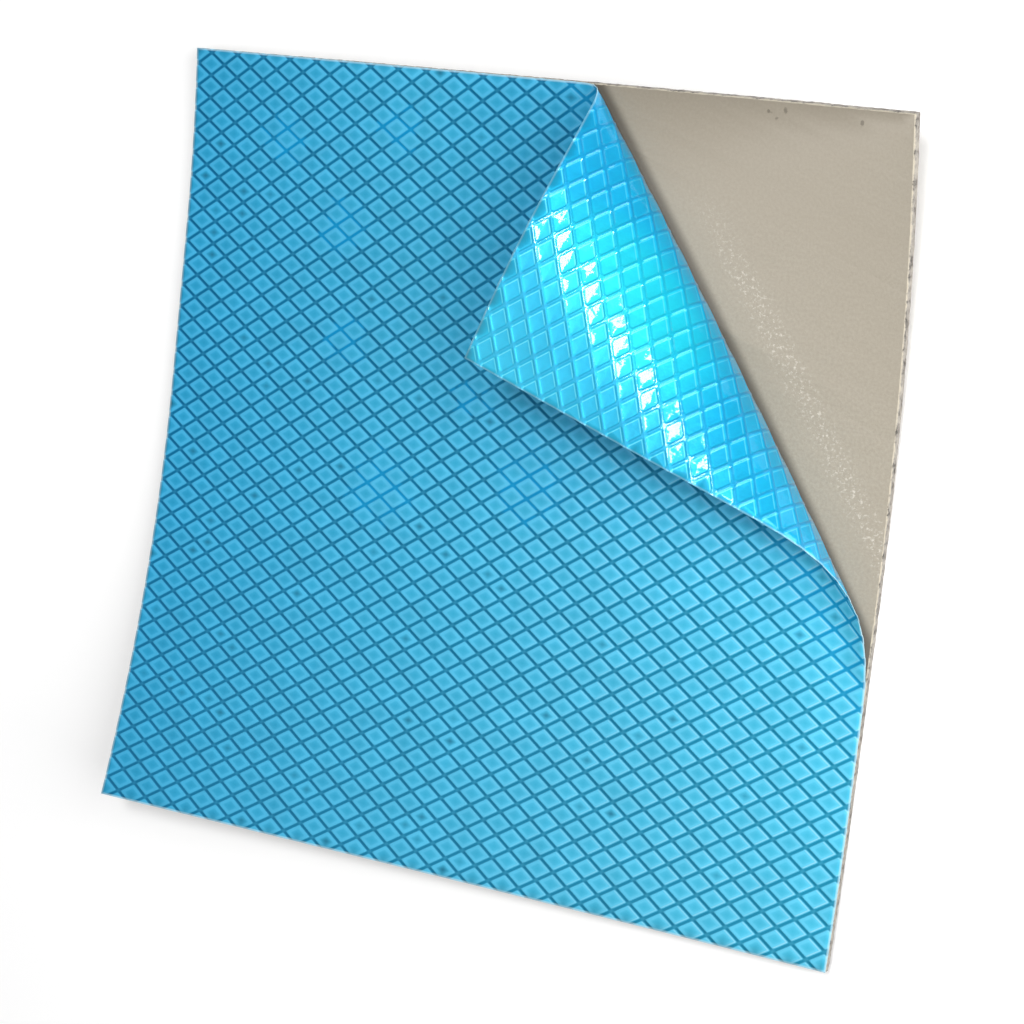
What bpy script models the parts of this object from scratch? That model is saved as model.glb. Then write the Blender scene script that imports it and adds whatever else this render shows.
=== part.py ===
# Thermal pad sheet: a square of grey filled silicone under a blue embossed release liner.
# One corner of the liner is peeled and curls back over the sheet.
# Metres, +Z up. X runs across the sheet, Y along it, and the pad rests on z = 0 about the origin.

import bmesh
import bpy
from math import ceil, cos, hypot, radians, sin
from mathutils import Matrix, Vector

# The stock
SIDE = 0.100                 # the square that pad and liner are cut to
PAD_THICK = 0.0015           # silicone, without the liner
FILM_THICK = 0.0002          # liner, over its embossing
SEAT_CLEAR = 0.0003          # between the pad's face and the liner

# The peeled corner, at +X +Y, measured from that corner along its two edges
PEEL_ALONG_TOP = 0.0434      # where the liner leaves the pad on the +Y edge
PEEL_DOWN_SIDE = 0.0680      # where it leaves the pad on the +X edge
BEND_RADIUS_TOP = 0.0036     # of the bend, at the +Y edge
BEND_RADIUS_SIDE = 0.0057    # of the bend, at the +X edge
BEND_TURN = radians(144)     # how far the bend turns the film over
FLAP_TURN = radians(35)      # what the loose corner still turns, spread from the bend to its tip

# The slight curl that the sheet keeps: its +X +Y and -X -Y corners stand up a little
CURL_ANGLE = radians(70)     # the direction that it curls in, from +X towards +Y
FLAT_HALF = 0.009            # half the width of the band across the middle that lies on the floor
CURL_LIFT = 0.0085           # how far the underside of those two corners stands off the floor

# Facets
BEND_CREASES = 14
FLAP_CREASES = 6
CURL_STEP = radians(1.5)

CURL_WAY = Vector((cos(CURL_ANGLE), sin(CURL_ANGLE), 0))
CURL_LENGTH = SIDE / 2 * (abs(CURL_WAY.x) + abs(CURL_WAY.y)) - FLAT_HALF
CURL_RADIUS = (CURL_LENGTH**2 + CURL_LIFT**2) / (2 * CURL_LIFT)
CURL_STEPS = ceil(CURL_LENGTH / CURL_RADIUS / CURL_STEP)


def clear_scene():
    for old in list(bpy.data.objects):
        bpy.data.objects.remove(old, do_unlink=True)


def material(name, colour, roughness):
    """A plain shader with the piece's own colour."""
    new = bpy.data.materials.new(name)
    new.use_nodes = True
    shader = new.node_tree.nodes["Principled BSDF"]
    shader.inputs["Base Color"].default_value = (*colour, 1)
    shader.inputs["Roughness"].default_value = roughness
    shader.inputs["Metallic"].default_value = 0
    return new


def lay(point):
    """Takes a point of the flat, level sheet to where the sheet's curl puts it."""
    out = point.dot(CURL_WAY)
    past = max(abs(out) - FLAT_HALF, 0)
    turn = past / CURL_RADIUS
    reach = CURL_RADIUS - point.z
    slide = reach * sin(turn) - past
    rise = CURL_RADIUS - reach * cos(turn) - point.z
    return point + CURL_WAY * (slide if out > 0 else -slide) + Vector((0, 0, rise))


def curl_lines():
    """The lines across the sheet that the curl bends it on, as a point and a direction."""
    along = Vector((-CURL_WAY.y, CURL_WAY.x, 0))
    step = CURL_LENGTH / CURL_STEPS
    places = [FLAT_HALF + step * count for count in range(CURL_STEPS)]
    return [(CURL_WAY * (end * place), along) for end in (-1, 1) for place in places]


def fold_creases():
    """The creases of the peeled corner, from the fold to the tip, as a point, a direction and a turn.

    Each crease runs from the +Y edge to the +X edge of the flat film, and everything between it and
    the corner turns about it. The bend is a little wider at the +X edge, so the creases fan out.
    """
    corner = Vector((SIDE / 2, SIDE / 2, 0))
    fold_length = hypot(PEEL_ALONG_TOP, PEEL_DOWN_SIDE)
    arc_top = BEND_RADIUS_TOP * BEND_TURN * fold_length / PEEL_DOWN_SIDE
    arc_side = BEND_RADIUS_SIDE * BEND_TURN * fold_length / PEEL_ALONG_TOP
    creases = []

    def crease(along_top, down_side, turn):
        start = corner - Vector((along_top, 0, 0))
        end = corner - Vector((0, down_side, 0))
        creases.append((start, (end - start).normalized(), turn))

    for count in range(BEND_CREASES):
        share = count / (BEND_CREASES - 1)
        crease(PEEL_ALONG_TOP - share * arc_top, PEEL_DOWN_SIDE - share * arc_side, BEND_TURN / BEND_CREASES)
    for count in range(1, FLAP_CREASES + 1):
        left = 1 - count / (FLAP_CREASES + 1)
        crease((PEEL_ALONG_TOP - arc_top) * left, (PEEL_DOWN_SIDE - arc_side) * left, FLAP_TURN / FLAP_CREASES)
    return creases


def turned(placing, start, direction, angle):
    """A placing with one more turn, about the line through start in the flat film."""
    swing = Matrix.Rotation(angle, 4, direction)
    return placing @ Matrix.Translation(start) @ swing @ Matrix.Translation(-start)


def peel(point, creases):
    """Folds a point of the flat film with the peeled corner, and gives the film's normal there."""
    on_crease = 1e-7
    placing = Matrix.Identity(4)
    facing = placing
    for start, direction, turn in creases:
        past = direction.cross(point - start).z
        if past < -on_crease:
            break
        if past < on_crease:
            facing = turned(placing, start, direction, turn / 2)
            break
        placing = turned(placing, start, direction, turn)
        facing = placing
    return placing @ point, facing.to_3x3() @ Vector((0, 0, 1))


def plate(thick, lines):
    """A flat square plate about z = 0, cut into facets along the given lines."""
    mesh = bmesh.new()
    bmesh.ops.create_cube(mesh, size=1)
    bmesh.ops.scale(mesh, vec=(SIDE, SIDE, thick), verts=mesh.verts)
    for point, direction in lines:
        across = Vector((direction.y, -direction.x, 0))
        everything = mesh.verts[:] + mesh.edges[:] + mesh.faces[:]
        bmesh.ops.bisect_plane(mesh, geom=everything, dist=1e-7, plane_co=point, plane_no=across)
    bmesh.ops.triangulate(mesh, faces=mesh.faces)
    return mesh


def finish(mesh, name, surface):
    """Makes the mesh an object in the scene."""
    data = bpy.data.meshes.new(name)
    mesh.to_mesh(data)
    mesh.free()
    data.materials.append(surface)
    piece = bpy.data.objects.new(name, data)
    bpy.context.scene.collection.objects.link(piece)
    return piece


def make_pad():
    mesh = plate(PAD_THICK, curl_lines())
    for vert in mesh.verts:
        vert.co = lay(vert.co + Vector((0, 0, PAD_THICK / 2)))
    return finish(mesh, "thermal_pad", material("silicone", (0.45, 0.41, 0.35), 0.6))


def make_liner():
    """The film: flat over the pad, then round the bend and back as the loose corner."""
    creases = fold_creases()
    seat = Vector((0, 0, PAD_THICK + SEAT_CLEAR + FILM_THICK / 2))
    mesh = plate(FILM_THICK, curl_lines() + [(start, direction) for start, direction, turn in creases])
    for vert in mesh.verts:
        side = vert.co.z
        middle, facing = peel(Vector((vert.co.x, vert.co.y, 0)), creases)
        vert.co = lay(seat + middle + facing * side)
    return finish(mesh, "release_liner", material("film", (0.05, 0.42, 0.72), 0.3))


clear_scene()
make_pad()
make_liner()
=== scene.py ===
# The look of the thermal pad sheet: an embossed blue release liner, peeled at one corner,
# over a grey silicone pad with rough cut sides. Metres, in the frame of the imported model.
from math import cos, hypot, radians, sin

import bmesh
import bpy
from mathutils import Matrix, Vector, noise


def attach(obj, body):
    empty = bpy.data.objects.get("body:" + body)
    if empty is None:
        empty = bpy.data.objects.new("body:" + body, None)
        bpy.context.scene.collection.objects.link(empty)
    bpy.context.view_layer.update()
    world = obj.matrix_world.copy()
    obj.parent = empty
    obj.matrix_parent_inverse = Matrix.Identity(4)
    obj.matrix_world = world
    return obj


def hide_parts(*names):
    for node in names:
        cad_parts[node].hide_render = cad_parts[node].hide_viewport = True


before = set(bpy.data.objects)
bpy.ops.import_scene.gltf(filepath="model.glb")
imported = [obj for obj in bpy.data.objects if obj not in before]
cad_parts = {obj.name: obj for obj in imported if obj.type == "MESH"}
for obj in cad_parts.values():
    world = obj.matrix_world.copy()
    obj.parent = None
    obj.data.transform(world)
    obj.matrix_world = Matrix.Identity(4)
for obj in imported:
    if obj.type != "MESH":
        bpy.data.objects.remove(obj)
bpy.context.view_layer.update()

MM = 0.001

# The stock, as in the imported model
SIDE = 100 * MM
PAD_THICK = 1.5 * MM

# The peeled corner, measured from the corner of the film along its two edges
PEEL_ALONG_TOP = 42.5 * MM
PEEL_DOWN_SIDE = 69.0 * MM
BEND_RADIUS_TOP = 2.7 * MM
BEND_RADIUS_SIDE = 5.9 * MM
BEND_TURN = radians(126)
FLAP_TURN = radians(50)
TURN_AT_BEND = 0.95          # how much more the loose corner turns at the bend than at its tip
FAN_TOP = 1.09               # how fast the loose corner's creases near its tip along the two edges:
FAN_SIDE = 0.46              # 1 is evenly, less is later

# The curl of the whole sheet
CURL_WAY = Vector((cos(radians(70)), sin(radians(70)), 0))
FLAT_HALF = 9 * MM
CURL_LIFT = 8.5 * MM
CURL_LENGTH = SIDE / 2 * (CURL_WAY.x + CURL_WAY.y) - FLAT_HALF
CURL_RADIUS = (CURL_LENGTH**2 + CURL_LIFT**2) / (2 * CURL_LIFT)

# The film and its embossed diamonds
FILM_WALL = 0.07 * MM
FILM_GAP = 0.04 * MM         # between the pad's face and the film's grooves
RELIEF = 0.055 * MM          # from the floor of a groove to the crown of a diamond
GROOVE_FLOOR = 0.24 * MM     # width
CROWN_CORNER = 0.32 * MM     # how far the crown's corners are cut back
CROWN_SIZE = 0.84            # of its foot
DIAMONDS_ACROSS = 24.18      # over the sheet's side
DIAMONDS_DOWN = 34.49
FIRST_ACROSS = 0.425         # how far the left edge is into its diamond, in diamonds
FIRST_DOWN = 0.84            # the same for the upper edge
DIAMOND_WIDE = SIDE / DIAMONDS_ACROSS
DIAMOND_HIGH = SIDE / DIAMONDS_DOWN

# How many creases there are in the bend and in the loose corner
CUT_CREASES = (15, 7)        # that the film's mesh is cut along
FOLD_CREASES = (60, 40)      # that it is then folded on

# Where the film has come off the pad in small patches, as a middle and a reach
LOOSE_PATCHES = [((-35.5 * MM, 39.2 * MM), 3.0 * MM), ((-18.2 * MM, 42.0 * MM), 3.0 * MM),
                 ((-25.8 * MM, 29.5 * MM), 3.5 * MM), ((-24.2 * MM, 15.0 * MM), 3.0 * MM),
                 ((-16.8 * MM, -3.2 * MM), 4.5 * MM), ((3.8 * MM, 0.0 * MM), 4.5 * MM),
                 ((-5.2 * MM, 9.8 * MM), 2.0 * MM)]

# The pad's cut sides
SIDE_ROUGHNESS = 0.10 * MM
SIDE_ROUND_OVER = 0.08 * MM

# The pad's marks: small pits near its upper edge, as a middle and a reach, and a polished line
PITS = [((32.2 * MM, 48.8 * MM), 0.35 * MM), ((33.0 * MM, 48.0 * MM), 0.3 * MM),
        ((34.3 * MM, 49.0 * MM), 0.4 * MM), ((43.8 * MM, 48.4 * MM), 0.3 * MM)]
PIT_DEEP = 0.2 * MM
POLISHED_LINE = (Vector((28.5, 31.5, 0)) * MM, Vector((49.5, 0.3, 0)) * MM)

# Where the film's bend ends over the pad, which gets painted shade beside it
FOLD_FOOT = (Vector((9.9, 49.0, 0)) * MM, Vector((42.2, -0.5, 0)) * MM)

# The camera of the photograph
CAMERA_SPOT = Vector((130.2, 34.5, 256.4)) * MM
CAMERA_AIM = Vector((2.3, -3.1, 1.65)) * MM
CAMERA_ROLL = radians(6.4)
CAMERA_LENS = 82.0


# Shape of the sheet

def lay(point):
    """Takes a point of the flat, level sheet to where the sheet's curl puts it."""
    out = point.dot(CURL_WAY)
    past = max(abs(out) - FLAT_HALF, 0)
    turn = past / CURL_RADIUS
    reach = CURL_RADIUS - point.z
    slide = reach * sin(turn) - past
    rise = CURL_RADIUS - reach * cos(turn) - point.z
    return point + CURL_WAY * (slide if out > 0 else -slide) + Vector((0, 0, rise))


def fold_creases(bend_creases, flap_creases):
    """The peeled corner's creases, from the fold to the tip: a point, a direction and a turn each."""
    corner = Vector((SIDE / 2, SIDE / 2, 0))
    fold_length = hypot(PEEL_ALONG_TOP, PEEL_DOWN_SIDE)
    arc_top = BEND_RADIUS_TOP * BEND_TURN * fold_length / PEEL_DOWN_SIDE
    arc_side = BEND_RADIUS_SIDE * BEND_TURN * fold_length / PEEL_ALONG_TOP
    creases = []

    def crease(along_top, down_side, turn):
        start = corner - Vector((along_top, 0, 0))
        end = corner - Vector((0, down_side, 0))
        creases.append((start, (end - start).normalized(), turn))

    for count in range(bend_creases):
        share = count / (bend_creases - 1)
        along_top = PEEL_ALONG_TOP - share * arc_top
        down_side = PEEL_DOWN_SIDE - share * arc_side
        crease(along_top, down_side, BEND_TURN / bend_creases)
    for count in range(1, flap_creases + 1):
        left = 1 - count / (flap_creases + 1)
        along_top = (PEEL_ALONG_TOP - arc_top) * left ** FAN_TOP
        down_side = (PEEL_DOWN_SIDE - arc_side) * left ** FAN_SIDE
        crease(along_top, down_side, FLAP_TURN / flap_creases * (1 + TURN_AT_BEND * (2 * left - 1)))
    return creases


def fold_line():
    """The first crease, where the film leaves the pad, as a point and a direction."""
    start, direction, _ = fold_creases(*CUT_CREASES)[0]
    return start, direction


class Peel:
    """The peeled corner as many fine creases, each turning what lies beyond it."""

    def __init__(self, creases):
        self.creases = creases
        self.placings = [Matrix.Identity(4)]
        for start, direction, turn in creases:
            swing = Matrix.Translation(start) @ Matrix.Rotation(turn, 4, direction)
            self.placings.append(self.placings[-1] @ (swing @ Matrix.Translation(-start)))

    def passed(self, point):
        """How many creases lie between the sheet's middle and a point of the flat film."""
        low, high = 0, len(self.creases)
        while low < high:
            middle = (low + high) // 2
            start, direction, _ = self.creases[middle]
            if direction.cross(point - start).z > 0:
                low = middle + 1
            else:
                high = middle
        return low

    def place(self, point, height):
        """Where a point of the flat film goes, at a height off the film's middle."""
        placing = self.placings[self.passed(point)]
        return placing @ (point + Vector((0, 0, height)))


# Mesh helpers

def flat_uv(point):
    """A point's place on the flat sheet, 0 to 1 over its side."""
    return point.x / SIDE + 0.5, point.y / SIDE + 0.5


def cut(mesh, point, across, drop=False):
    """Cuts the whole mesh with an upright plane, and drops what is beyond it if asked."""
    everything = mesh.verts[:] + mesh.edges[:] + mesh.faces[:]
    bmesh.ops.bisect_plane(
        mesh, geom=everything, dist=1e-7, plane_co=point, plane_no=across, clear_outer=drop)


def made(mesh, name, surfaces):
    """Makes the mesh an object of the scene, smooth but for its sharp edges, with its materials."""
    for face in mesh.faces:
        face.smooth = True
    data = bpy.data.meshes.new(name)
    mesh.to_mesh(data)
    mesh.free()
    for surface in surfaces:
        data.materials.append(surface)
    piece = bpy.data.objects.new(name, data)
    bpy.context.scene.collection.objects.link(piece)
    return piece


# The film

def embossed_diamond():
    """One diamond of the film, flat, out to the middle of the grooves around it."""
    mesh = bmesh.new()
    bmesh.ops.create_circle(mesh, cap_ends=True, segments=4, radius=0.5)
    bmesh.ops.scale(mesh, vec=(DIAMOND_WIDE, DIAMOND_HIGH, 1), verts=mesh.verts)
    crown = mesh.faces[:][0]
    bmesh.ops.inset_individual(mesh, faces=[crown], thickness=GROOVE_FLOOR / 2)
    bmesh.ops.bevel(
        mesh, geom=crown.verts[:], offset=CROWN_CORNER, segments=1, profile=0.5, affect="VERTICES",
        material=-1)
    crown = min(mesh.faces, key=lambda face: face.calc_center_median().length)
    crown = bmesh.ops.extrude_discrete_faces(mesh, faces=[crown])["faces"][0]
    bmesh.ops.scale(mesh, vec=(CROWN_SIZE, CROWN_SIZE, 1), verts=crown.verts)
    bmesh.ops.translate(mesh, vec=(0, 0, RELIEF), verts=crown.verts)
    return mesh


def spread(mesh, shapes, step, copies):
    """Repeats some vertices and faces along a step, and gives all of them."""
    everything = list(shapes)
    for count in range(1, copies):
        new = bmesh.ops.duplicate(mesh, geom=shapes)["geom"]
        verts = [part for part in new if isinstance(part, bmesh.types.BMVert)]
        bmesh.ops.translate(mesh, vec=step * count, verts=verts)
        everything += new
    return everything


def diamond_field():
    """The flat embossed film, cut to the sheet's square."""
    mesh = embossed_diamond()
    columns = int(DIAMONDS_ACROSS) + 3
    pairs = int(DIAMONDS_DOWN) + 3
    first = mesh.verts[:] + mesh.edges[:] + mesh.faces[:]
    half_step = Vector((DIAMOND_WIDE / 2, -DIAMOND_HIGH / 2, 0))
    both = spread(mesh, first, half_step, 2)
    row = spread(mesh, both, Vector((DIAMOND_WIDE, 0, 0)), columns)
    spread(mesh, row, Vector((0, -DIAMOND_HIGH, 0)), pairs)
    left = -SIDE / 2 + (0.5 - FIRST_ACROSS - 1) * DIAMOND_WIDE
    top = SIDE / 2 + FIRST_DOWN * DIAMOND_HIGH
    bmesh.ops.translate(mesh, vec=(left, top, 0), verts=mesh.verts)
    bmesh.ops.remove_doubles(mesh, verts=mesh.verts, dist=0.01 * MM)
    for way in ((1, 0, 0), (-1, 0, 0), (0, 1, 0), (0, -1, 0)):
        cut(mesh, Vector(way) * (SIDE / 2), Vector(way), drop=True)
    return mesh


def make_film(surfaces):
    """The film: flat over the pad, then round the bend and back as the loose corner."""
    sliver = 0.03 * MM
    sharp_from = radians(3)
    mesh = diamond_field()
    for start, direction, _ in fold_creases(*CUT_CREASES):
        cut(mesh, start, Vector((direction.y, -direction.x, 0)))
    bmesh.ops.remove_doubles(mesh, verts=mesh.verts, dist=sliver)
    bmesh.ops.triangulate(mesh, faces=[face for face in mesh.faces if len(face.verts) > 4])
    mesh.normal_update()
    for edge in mesh.edges:
        edge.smooth = edge.calc_face_angle(0) < sharp_from
    flat = mesh.loops.layers.uv.new("flat")
    for face in mesh.faces:
        for loop in face.loops:
            loop[flat].uv = flat_uv(loop.vert.co)
    peel = Peel(fold_creases(*FOLD_CREASES))
    seat = Vector((0, 0, PAD_THICK + FILM_GAP + FILM_WALL))
    for vert in mesh.verts:
        vert.co = lay(seat + peel.place(Vector((vert.co.x, vert.co.y, 0)), vert.co.z))
    film = made(mesh, "embossed_liner", surfaces)
    wall = film.modifiers.new("wall", "SOLIDIFY")
    wall.thickness = FILM_WALL
    wall.offset = -1
    wall.material_offset = 1
    wall.material_offset_rim = 2
    return film


# The pad

def make_pad(surfaces):
    """The silicone square, with rough cut sides and a few small pits."""
    wall_rows = 6
    edge_cuts = 260
    curl_step = 4 * MM
    mesh = bmesh.new()
    bmesh.ops.create_grid(mesh, x_segments=1, y_segments=1, size=SIDE / 2)
    bmesh.ops.translate(mesh, vec=(0, 0, PAD_THICK), verts=mesh.verts)
    bmesh.ops.subdivide_edges(mesh, edges=mesh.edges, cuts=edge_cuts)
    rim = [edge for edge in mesh.edges if edge.is_boundary]
    for _ in range(wall_rows):
        grown = bmesh.ops.extrude_edge_only(mesh, edges=rim)["geom"]
        rim = [part for part in grown if isinstance(part, bmesh.types.BMEdge) and part.is_boundary]
        lower = [part for part in grown if isinstance(part, bmesh.types.BMVert)]
        bmesh.ops.translate(mesh, vec=(0, 0, -PAD_THICK / wall_rows), verts=lower)
    bmesh.ops.contextual_create(mesh, geom=rim)
    bmesh.ops.recalc_face_normals(mesh, faces=mesh.faces)
    for face in mesh.faces:
        face.material_index = 1 if abs(face.normal.z) < 0.5 else 0
    place = FLAT_HALF
    while place < FLAT_HALF + CURL_LENGTH:
        for end in (-1, 1):
            cut(mesh, CURL_WAY * (end * place), CURL_WAY)
        place += curl_step
    flat = mesh.loops.layers.uv.new("flat")
    for face in mesh.faces:
        for loop in face.loops:
            spot = loop.vert.co
            on_side = face.material_index
            loop[flat].uv = ((spot.x - spot.y) / SIDE, spot.z / PAD_THICK) if on_side else flat_uv(spot)
    for vert in mesh.verts:
        vert.co = lay(pitted(rough_side(vert.co)))
    return made(mesh, "silicone_pad", surfaces)


def rough_side(point):
    """Moves a point of the pad's side as the blade left it. Points off the sides stay."""
    coarse_scale = 700
    fine_scale = 2600
    near = 0.001 * MM
    new = point.copy()
    for axis in (0, 1):
        if abs(abs(point[axis]) - SIDE / 2) < near:
            sign = 1 if point[axis] > 0 else -1
            coarse = noise.noise(point * coarse_scale + Vector((3, 7, 1)))
            fine = noise.noise(point * fine_scale + Vector((9, 2, 5)))
            inward = SIDE_ROUGHNESS * (0.55 + 0.45 * coarse + 0.5 * fine)
            if min(PAD_THICK - point.z, point.z) < near:
                inward += SIDE_ROUND_OVER
            new[axis] = point[axis] - sign * max(inward, 0)
    return new


def pitted(point):
    """Lowers a point of the pad's face where it is in one of the small pits near the edge."""
    new = point.copy()
    for spot, reach in PITS:
        off = (Vector((point.x, point.y)) - Vector(spot)).length
        if point.z > PAD_THICK / 2 and off < reach:
            new.z -= PIT_DEEP * (1 - off / reach)
    return new


# Materials

class Nodes:
    """A material's node tree, with short calls for the nodes that the finishes use."""

    def __init__(self, name):
        self.material = bpy.data.materials.new(name)
        self.material.use_nodes = True
        self.tree = self.material.node_tree
        self.shader = self.tree.nodes["Principled BSDF"]

    def add(self, kind, **settings):
        node = self.tree.nodes.new("ShaderNode" + kind)
        for key, value in settings.items():
            setattr(node, key, value)
        return node

    def feed(self, socket, value):
        """Links a socket to another node's output, or sets its value."""
        if isinstance(value, bpy.types.NodeSocket):
            self.tree.links.new(value, socket)
        else:
            socket.default_value = value

    def math(self, operation, *values):
        node = self.add("Math", operation=operation)
        for socket, value in zip(node.inputs, values):
            self.feed(socket, value)
        return node.outputs[0]

    def times(self, first, second):
        return self.math("MULTIPLY", first, second)

    def from_ends(self, value):
        """How far a value between 0 and 1 is from the nearer of the two."""
        off_middle = self.math("ABSOLUTE", self.math("SUBTRACT", value, 0.5))
        return self.math("SUBTRACT", 0.5, off_middle)

    def mix(self, share, first, second, blend="MIX"):
        node = self.add("Mix", data_type="RGBA", blend_type=blend)
        self.feed(node.inputs[0], share)
        self.feed(node.inputs[6], first)
        self.feed(node.inputs[7], second)
        return node.outputs[2]

    def span(self, value, low, high, new_low=0.0, new_high=1.0, smooth=False):
        """Brings a range of values to another, without going past its ends."""
        node = self.add("MapRange", interpolation_type="SMOOTHSTEP" if smooth else "LINEAR")
        for socket, number in zip(node.inputs[:5], (value, low, high, new_low, new_high)):
            self.feed(socket, number)
        return node.outputs[0]

    def ramp(self, value, stops):
        node = self.add("ValToRGB")
        for count, (place, colour) in enumerate(stops):
            stop = node.color_ramp.elements[count] if count < 2 else node.color_ramp.elements.new(place)
            stop.position = place
            stop.color = colour
        self.feed(node.inputs[0], value)
        return node.outputs[0]

    def noise(self, vector, scale, detail=2.0, roughness=0.5):
        node = self.add("TexNoise")
        self.feed(node.inputs["Vector"], vector)
        node.inputs["Scale"].default_value = scale
        node.inputs["Detail"].default_value = detail
        node.inputs["Roughness"].default_value = roughness
        return node.outputs["Fac"]

    def bump(self, height, distance, under=None):
        node = self.add("Bump")
        node.inputs["Distance"].default_value = distance
        node.inputs["Strength"].default_value = 1
        self.feed(node.inputs["Height"], height)
        if under is not None:
            self.feed(node.inputs["Normal"], under)
        return node.outputs["Normal"]

    def flat_place(self):
        """The piece's flat coordinates, 0 to 1 over the sheet's side, together, to the right and up."""
        flat = self.add("UVMap", uv_map="flat").outputs[0]
        split = self.add("SeparateXYZ")
        self.feed(split.inputs[0], flat)
        return flat, split.outputs[0], split.outputs[1]

    def beside(self, right, up, start, way):
        """How far a point of the flat sheet is to the left of a line, in metres."""
        rest = (start.x + SIDE / 2) * way.y - (start.y + SIDE / 2) * way.x
        part = self.math("MULTIPLY_ADD", right, -way.y * SIDE, rest)
        return self.math("MULTIPLY_ADD", up, way.x * SIDE, part)

    def off_spot(self, flat, spot, ragged):
        """How far a point of the flat sheet is from a spot, in metres, give or take a ragged length."""
        away = self.add("VectorMath", operation="DISTANCE")
        self.feed(away.inputs[0], flat)
        away.inputs[1].default_value = (spot[0] / SIDE + 0.5, spot[1] / SIDE + 0.5, 0)
        return self.math("MULTIPLY_ADD", away.outputs["Value"], SIDE, ragged)

    def ragged(self, flat, scale, reach):
        """Noise as a length in metres, up to reach either way."""
        return self.times(self.span(self.noise(flat, scale, 2), 0.3, 0.7, -1, 1), reach)

    def set(self, **values):
        for name, value in values.items():
            self.feed(self.shader.inputs[name.replace("_", " ")], value)


def ink(red, green, blue):
    """A colour given as it looks on the screen, 0 to 255, as the shader wants it."""
    linear = []
    for part in (red, green, blue):
        part /= 255
        linear.append(part / 12.92 if part <= 0.04045 else ((part + 0.055) / 1.055) ** 2.4)
    return (*linear, 1)


class DiamondGrid:
    """Numbers of the film's pattern at a point, from its flat coordinates."""

    def __init__(self, nodes):
        self.flat, self.right, self.up = nodes.flat_place()
        across = nodes.math("MULTIPLY_ADD", self.right, DIAMONDS_ACROSS, FIRST_ACROSS)
        down = nodes.math("MULTIPLY_ADD", self.up, -DIAMONDS_DOWN, DIAMONDS_DOWN + FIRST_DOWN)
        ways = [nodes.math("ADD", across, down), nodes.math("SUBTRACT", across, down)]
        self.inside = [nodes.math("FRACT", way) for way in ways]
        sides = [nodes.from_ends(inside) for inside in self.inside]
        cell = nodes.add("CombineXYZ")
        for socket, way in zip(cell.inputs, ways):
            nodes.feed(socket, nodes.math("FLOOR", way))
        chance = nodes.add("TexWhiteNoise", noise_dimensions="3D")
        nodes.feed(chance.inputs["Vector"], cell.outputs[0])
        self.chance = chance.outputs["Value"]
        # how far off the nearest groove, 0 to 0.5 of a diamond, and whether two grooves cross
        self.depth = nodes.math("SMOOTH_MIN", *sides, 0.13)
        self.crossing = nodes.span(nodes.math("MAXIMUM", *sides), 0.04, 0.15, 1, 0)
        # 1 in the grooves that rise to the right, 0 in the others; the rising ones get a lighter colour
        # as painted light
        self.rising = nodes.span(nodes.math("SUBTRACT", sides[1], sides[0]), -0.05, 0.1)
        # how far beyond the fold in the flat film, in metres, and how near the film's own edge, 1 on it
        self.past_fold = nodes.beside(self.right, self.up, *fold_line())
        off_edge = nodes.math("MINIMUM", nodes.from_ends(self.right), nodes.from_ends(self.up))
        self.edge = nodes.span(off_edge, 0.0010, 0.0028, 1, 0)

    def dome(self, nodes):
        """The height of a diamond's rounded crown, from 0 at its sides to 1 in its middle."""
        heights = []
        for inside in self.inside:
            off_middle = nodes.math("ABSOLUTE", nodes.math("SUBTRACT", inside, 0.5))
            slope = nodes.math("POWER", nodes.span(off_middle, 0, 0.44), 2)
            heights.append(nodes.math("SUBTRACT", 1, slope))
        return nodes.times(*heights)

    def cup(self, nodes):
        """The same with rounded corners, and steep right up to the grooves."""
        off_middle = nodes.math("MULTIPLY_ADD", self.depth, -2, 1)
        return nodes.math("SUBTRACT", 1, nodes.math("POWER", off_middle, 2))

    def rim(self, nodes, place, strength):
        """A thin line just inside one pair of a diamond's sides, at a share of the way across it."""
        lines = []
        for inside in self.inside:
            off = nodes.math("ABSOLUTE", nodes.math("SUBTRACT", inside, place))
            lines.append(nodes.span(off, 0.012, 0.04, strength, 0))
        return nodes.times(nodes.math("MAXIMUM", *lines), nodes.span(self.depth, 0.09, 0.12))


def uneven(nodes, grid, colour):
    """Small differences in brightness from diamond to diamond and in soft clouds."""
    single = nodes.span(grid.chance, 0, 1, 0.97, 1.03)
    clouds = nodes.span(nodes.noise(grid.flat, 30, 3), 0.3, 0.7, 0.92, 1.01)
    varied = nodes.add("HueSaturation")
    nodes.feed(varied.inputs["Value"], nodes.times(single, clouds))
    nodes.feed(varied.inputs["Color"], colour)
    return varied.outputs[0]


def film_colours(nodes, grid):
    """The diamonds and the grooves of the film's face, paler towards +X as painted light from the right,
    and less so near the loose corner as painted shade.
    """
    # painted light: lit copies of the colours on the right, shaded copies on the left
    left = ink(66, 174, 220), ink(48, 160, 206), ink(36, 150, 195), ink(0, 98, 142), ink(0, 106, 150)
    right = ink(104, 212, 246), ink(86, 200, 233), ink(70, 190, 224), ink(10, 118, 150), ink(26, 136, 170)
    bodies = []
    grooves = []
    for rim, middle, centre, groove, rising in (left, right):
        bodies.append(nodes.ramp(grid.depth, [(0.12, rim), (0.22, rim), (0.30, middle), (0.5, centre)]))
        # painted light: the grooves that rise to the right are a little lighter
        grooves.append(nodes.mix(grid.rising, groove, rising))
    # painted light grows towards +X; near the loose corner, painted shade takes some of it back
    painted_shade_by_flap = nodes.times(nodes.span(grid.up, 0.45, 0.75), nodes.span(grid.right, 0.35, 0.6))
    painted_light_share = nodes.math("MULTIPLY_ADD", painted_shade_by_flap, -0.5, grid.right)
    return nodes.mix(painted_light_share, *bodies), nodes.mix(painted_light_share, *grooves)


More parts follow.
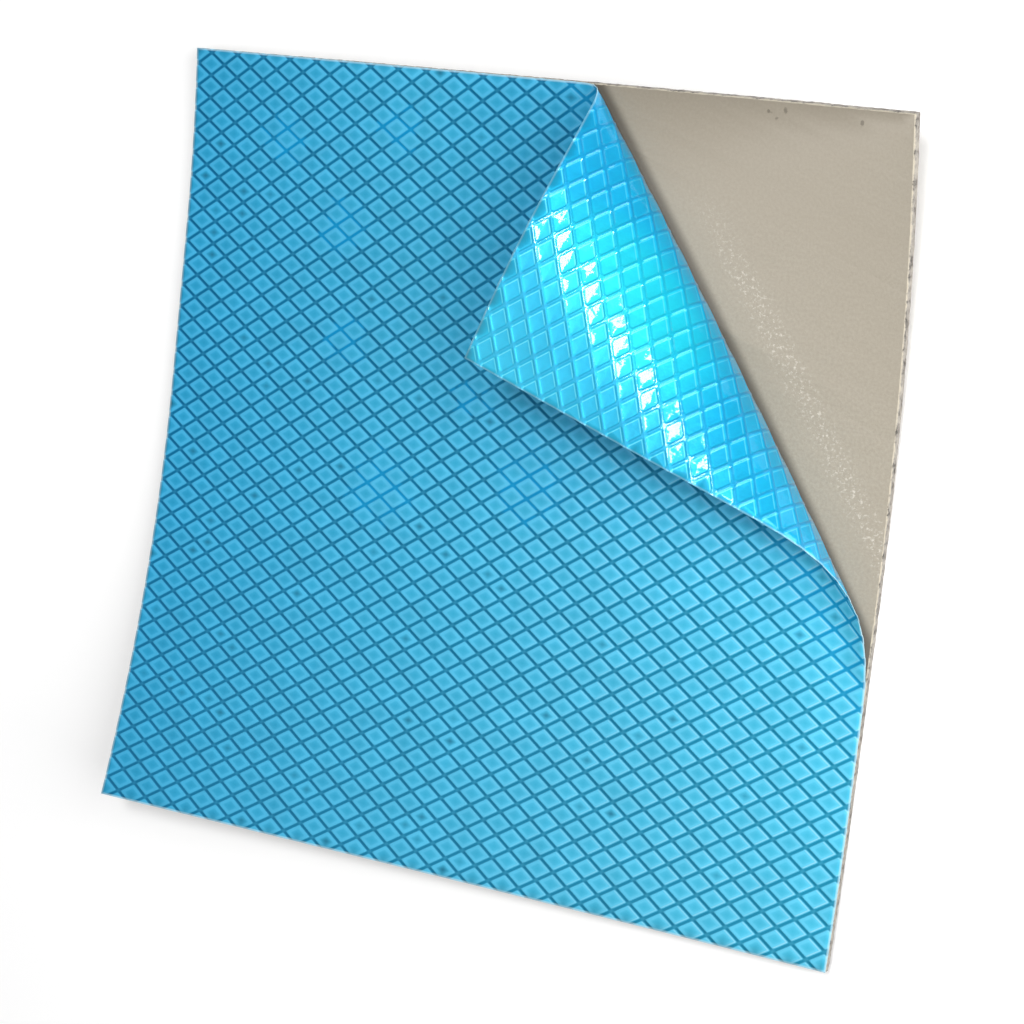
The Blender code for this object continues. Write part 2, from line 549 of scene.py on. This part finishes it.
def lifted(nodes, grid):
    """Where the film doesn't touch the pad: in a few loose patches, and near the fold and beyond it."""
    ragged = nodes.ragged(grid.flat, 45, 1.4 * MM)
    share = nodes.span(grid.past_fold, -5 * MM, 1 * MM, 0, 0.8, smooth=True)
    for spot, reach in LOOSE_PATCHES:
        off = nodes.off_spot(grid.flat, spot, ragged)
        patch = nodes.span(off, reach * 0.6, reach * 1.3, 0.8, 0, smooth=True)
        share = nodes.math("MAXIMUM", share, patch)
    return share


def wetted(nodes, grid):
    """The middles of a few diamonds, picked by chance, which the pad has wetted."""
    picked = nodes.math("GREATER_THAN", grid.chance, 0.94)
    how_wet = nodes.times(picked, nodes.span(grid.chance, 0.94, 1, 0.2, 0.8))
    return nodes.times(how_wet, nodes.span(grid.depth, 0.26, 0.45))


def shone_through(nodes, grid):
    """Where light comes through the loose corner onto the film under it."""
    near_fold = nodes.span(grid.past_fold, -28 * MM, -10 * MM)
    return nodes.times(near_fold, nodes.span(grid.up, 0.5, 0.65, 1, 0))


def film_face():
    """The film's embossed face over the grey pad.

    Its grooves lie dark on the pad, but not where the film is off it.
    """
    nodes = Nodes("embossed blue film")
    grid = DiamondGrid(nodes)
    body, groove = film_colours(nodes, grid)
    groove = nodes.mix(nodes.times(grid.crossing, 0.2), groove, body)
    free = nodes.mix(grid.right, ink(0, 146, 204), ink(14, 150, 204))
    groove = nodes.mix(lifted(nodes, grid), groove, free)
    pattern = nodes.mix(nodes.span(grid.depth, 0.04, 0.12, smooth=True), groove, body)
    pattern = nodes.mix(wetted(nodes, grid), pattern, ink(28, 105, 135))
    # painted highlight: pale glints on the diamonds' right-hand rims, more towards +X and by chance from
    # diamond to diamond
    painted_glint_share = nodes.times(nodes.span(grid.right, 0.45, 1), nodes.span(grid.chance, 0, 0.5, 0.3, 1))
    glint = nodes.times(grid.rim(nodes, 0.86, 0.5), painted_glint_share)
    pattern = nodes.mix(glint, pattern, ink(190, 234, 246))
    pattern = nodes.mix(shone_through(nodes, grid), pattern, ink(0, 48, 62), blend="ADD")
    # painted shade: darker and duller towards the film's lower (-Y) end
    pattern = nodes.mix(nodes.span(grid.up, 0, 0.5, 0.16, 0), pattern, ink(44, 125, 150))
    pattern = uneven(nodes, grid, pattern)
    pattern = nodes.mix(nodes.times(grid.edge, 0.65), pattern, ink(190, 230, 243))
    nodes.set(Base_Color=pattern, Normal=nodes.bump(grid.dome(nodes), 0.03 * MM),
              Specular_IOR_Level=0.14, Roughness=nodes.span(grid.depth, 0.05, 0.13, 0.6, 0.3))
    return nodes.material


def lit_from_behind(nodes, grid):
    """A soft oval in the middle of the loose corner, where light comes through the film."""
    middle = Vector((34, 35.5, 0)) * MM
    ratios = []
    for way, reach in ((Vector((0.43, -0.90, 0)), 9 * MM), (Vector((0.90, 0.43, 0)), 17 * MM)):
        off = nodes.beside(grid.right, grid.up, middle, way)
        ratios.append(nodes.math("POWER", nodes.math("DIVIDE", off, reach), 2))
    return nodes.span(nodes.math("ADD", *ratios), 0, 1, 0.9, 0, smooth=True)


def back_colours(nodes, grid):
    """The film's bare back: paler towards the loose corner's tip as a painted reflection, with painted
    shade at its upper end by the fold.
    """
    colours = [(0.14, ink(0, 186, 235)), (0.22, ink(0, 177, 228)), (0.5, ink(0, 181, 228))]
    body = nodes.ramp(grid.depth, colours)
    pattern = nodes.mix(nodes.span(grid.depth, 0.03, 0.10, smooth=True), ink(0, 158, 212), body)
    lit = nodes.mix(nodes.span(grid.depth, 0.03, 0.12), ink(0, 196, 224), ink(24, 216, 236))
    pattern = nodes.mix(lit_from_behind(nodes, grid), pattern, lit)
    # painted reflection: paler towards the loose corner's tip
    painted_reflection_to_tip = nodes.span(grid.past_fold, 12 * MM, 32 * MM, 0, 0.5)
    pattern = nodes.mix(painted_reflection_to_tip, pattern, ink(70, 214, 246))
    # painted shade at the loose corner's upper end, by the fold
    painted_fold_shade = nodes.span(grid.past_fold, 8 * MM, 16 * MM, 0.45, 0)
    return nodes.mix(nodes.times(painted_fold_shade, nodes.span(grid.up, 0.88, 0.97)), pattern, ink(0, 150, 208))


def film_back():
    """The film's glossy back, where each diamond is a shallow cup, with a thin pale line on two sides of
    its rim as a painted highlight.
    """
    nodes = Nodes("glossy back of the film")
    grid = DiamondGrid(nodes)
    pattern = back_colours(nodes, grid)
    # painted highlight: thin pale lines on the diamonds' rims, stronger away from the fold
    painted_rim_highlight = nodes.times(grid.rim(nodes, 0.15, 0.6), nodes.span(grid.past_fold, 6 * MM, 16 * MM, 0.25, 1))
    pattern = nodes.mix(painted_rim_highlight, pattern, ink(120, 238, 254))
    pattern = uneven(nodes, grid, pattern)
    pattern = nodes.mix(nodes.times(grid.edge, 0.6), pattern, ink(150, 218, 244))
    ripples = nodes.times(nodes.noise(grid.flat, 90, 2), nodes.span(grid.up, 0.62, 0.92, 2.0, 0.6))
    cupped = nodes.bump(grid.cup(nodes), -0.06 * MM, under=nodes.bump(ripples, 0.03 * MM))
    nodes.set(Base_Color=pattern, Normal=cupped, Coat_Normal=cupped, Metallic=0.3, Roughness=0.42,
              Specular_IOR_Level=0.15, Coat_Weight=0.9, Coat_Roughness=0.05, Coat_IOR=1.45,
              Sheen_Weight=0.1, Sheen_Roughness=0.3)
    return nodes.material


def film_edge():
    nodes = Nodes("cut edge of the film")
    place = nodes.add("TexCoord").outputs["Object"]
    grain = nodes.span(nodes.noise(place, 900, 3), 0.35, 0.65)
    nodes.set(Base_Color=nodes.mix(grain, ink(160, 212, 232), ink(205, 232, 240)), Roughness=0.5)
    return nodes.material


def pad_face():
    """The filled silicone's face: fine grain, soft clouds, small pits and a polished line by the fold,
    with painted shade at its upper end, beside the fold and in the pits.
    """
    nodes = Nodes("filled silicone")
    flat, right, up = nodes.flat_place()
    speckle = nodes.noise(flat, 260, 3, 0.7)
    colour = nodes.ramp(speckle, [(0.3, ink(155, 147, 132)), (0.7, ink(170, 162, 146))])
    cloud = nodes.span(nodes.noise(flat, 6, 4), 0.35, 0.7, 0, 0.35)
    colour = nodes.mix(cloud, colour, ink(158, 148, 131))
    # painted shade: darker towards the pad's upper (+Y) end
    colour = nodes.mix(nodes.span(up, 0.6, 1.0, 0, 0.5), colour, ink(144, 136, 122))
    start, end = POLISHED_LINE
    off = nodes.math("ABSOLUTE", nodes.beside(right, up, start, (end - start).normalized()))
    line = nodes.times(nodes.span(off, 0.6 * MM, 2.4 * MM, 1, 0), nodes.span(up, 0.78, 0.90, 1, 0))
    fleck = nodes.times(line, nodes.span(nodes.noise(flat, 200, 4, 0.8), 0.54, 0.64))
    colour = nodes.mix(nodes.times(fleck, 0.7), colour, ink(216, 209, 196))
    # painted shadow on the pad just beyond where the film's bend ends
    start, end = FOLD_FOOT
    beyond = nodes.beside(right, up, start, (end - start).normalized())
    painted_fold_shade = nodes.span(beyond, 0.6 * MM, 2.0 * MM, 0.85, 0, smooth=True)
    colour = nodes.mix(painted_fold_shade, colour, ink(84, 76, 65))
    # painted shade in the small pits
    ragged = nodes.ragged(flat, 180, 0.25 * MM)
    for spot, reach in PITS:
        painted_pit_shade = nodes.span(nodes.off_spot(flat, spot, ragged), reach * 0.3, reach * 0.8, 0.6, 0)
        colour = nodes.mix(painted_pit_shade, colour, ink(92, 84, 72))
    nodes.set(Base_Color=colour, Roughness=nodes.span(fleck, 0, 1, 0.55, 0.3),
              Normal=nodes.bump(speckle, 0.02 * MM))
    return nodes.material


def pad_side():
    """The cut side: a cream line at its upper edge, painted as a highlight where the edge rounds over,
    and ragged grey with dark specks under it.
    """
    nodes = Nodes("cut silicone")
    place = nodes.add("TexCoord").outputs["Object"]
    grain = nodes.noise(place, 900, 5, 0.75)
    greys = [(0.36, ink(84, 80, 74)), (0.46, ink(150, 144, 136)), (0.62, ink(184, 177, 166))]
    _, _, up_side = nodes.flat_place()
    height = nodes.math("ADD", up_side, nodes.span(grain, 0.3, 0.7, -0.2, 0.2))
    # painted highlight: a cream line along the side's upper edge
    colour = nodes.mix(nodes.span(height, 0.75, 0.95), nodes.ramp(grain, greys), ink(200, 191, 172))
    nodes.set(Base_Color=colour, Roughness=0.85, Normal=nodes.bump(grain, 0.1 * MM))
    return nodes.material


def floor_finish():
    nodes = Nodes("pale floor")
    place = nodes.add("TexCoord").outputs["Object"]
    colour = nodes.mix(nodes.noise(place, 40, 3), (0.93, 0.93, 0.93, 1), (0.95, 0.95, 0.95, 1))
    nodes.set(Base_Color=colour, Roughness=0.9, Emission_Color=(1, 1, 1, 1), Emission_Strength=0.12)
    return nodes.material


# Studio

def make_camera():
    view = (CAMERA_AIM - CAMERA_SPOT).normalized()
    across = view.cross(Vector((0, 1, 0))).normalized()
    facing = Matrix((across, across.cross(view), -view)).transposed().to_4x4()
    camera = bpy.data.objects.new("camera", bpy.data.cameras.new("camera"))
    bpy.context.scene.collection.objects.link(camera)
    rolled = facing @ Matrix.Rotation(CAMERA_ROLL, 4, "Z")
    camera.matrix_world = Matrix.Translation(CAMERA_SPOT) @ rolled
    camera.data.lens = CAMERA_LENS
    camera.data.sensor_width = 36
    camera.data.clip_start = 0.01
    bpy.context.scene.camera = camera


def make_floor():
    mesh = bmesh.new()
    bmesh.ops.create_grid(mesh, x_segments=1, y_segments=1, size=3)
    floor = made(mesh, "floor", [floor_finish()])
    floor.location.z = -0.02 * MM


def soft_light(name, towards, distance, size, power, aim=(0, 0, 0), long_way=(1, 0, 0)):
    """A rectangular studio light in a direction from its aim, with its longer side along long_way."""
    data = bpy.data.lights.new(name, "AREA")
    data.shape = "RECTANGLE"
    data.size, data.size_y = size
    data.energy = power
    light = bpy.data.objects.new(name, data)
    bpy.context.scene.collection.objects.link(light)
    back = Vector(towards).normalized()
    across = Vector(long_way) - back * back.dot(Vector(long_way))
    across.normalize()
    facing = Matrix((across, back.cross(across), back)).transposed().to_4x4()
    light.matrix_world = Matrix.Translation(Vector(aim) + back * distance) @ facing


def make_lights():
    flap = Vector((20, 20, 15)) * MM
    soft_light("key strip", (0.195, 0.283, 0.943), 0.6, (0.16, 0.11), 1.6, flap, (0.58, -0.79, 0.20))
    soft_light("right softbox", (0.80, 0.10, 0.55), 0.5, (0.35, 0.35), 1.55)
    soft_light("overhead softbox", (0.0, 0.0, 1), 1.2, (1.2, 1.2), 1.8)
    world = bpy.data.worlds.new("studio")
    world.use_nodes = True
    background = world.node_tree.nodes["Background"]
    background.inputs["Color"].default_value = (1, 1, 1, 1)
    background.inputs["Strength"].default_value = 0.32
    bpy.context.scene.world = world
    bpy.context.scene.view_settings.view_transform = "Standard"


# The scene

make_camera()
make_lights()
make_floor()

film = make_film([film_face(), film_back(), film_edge()])
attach(film, "root")
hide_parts("release_liner")

pad = make_pad([pad_face(), pad_side()])
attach(pad, "root")
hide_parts("thermal_pad")
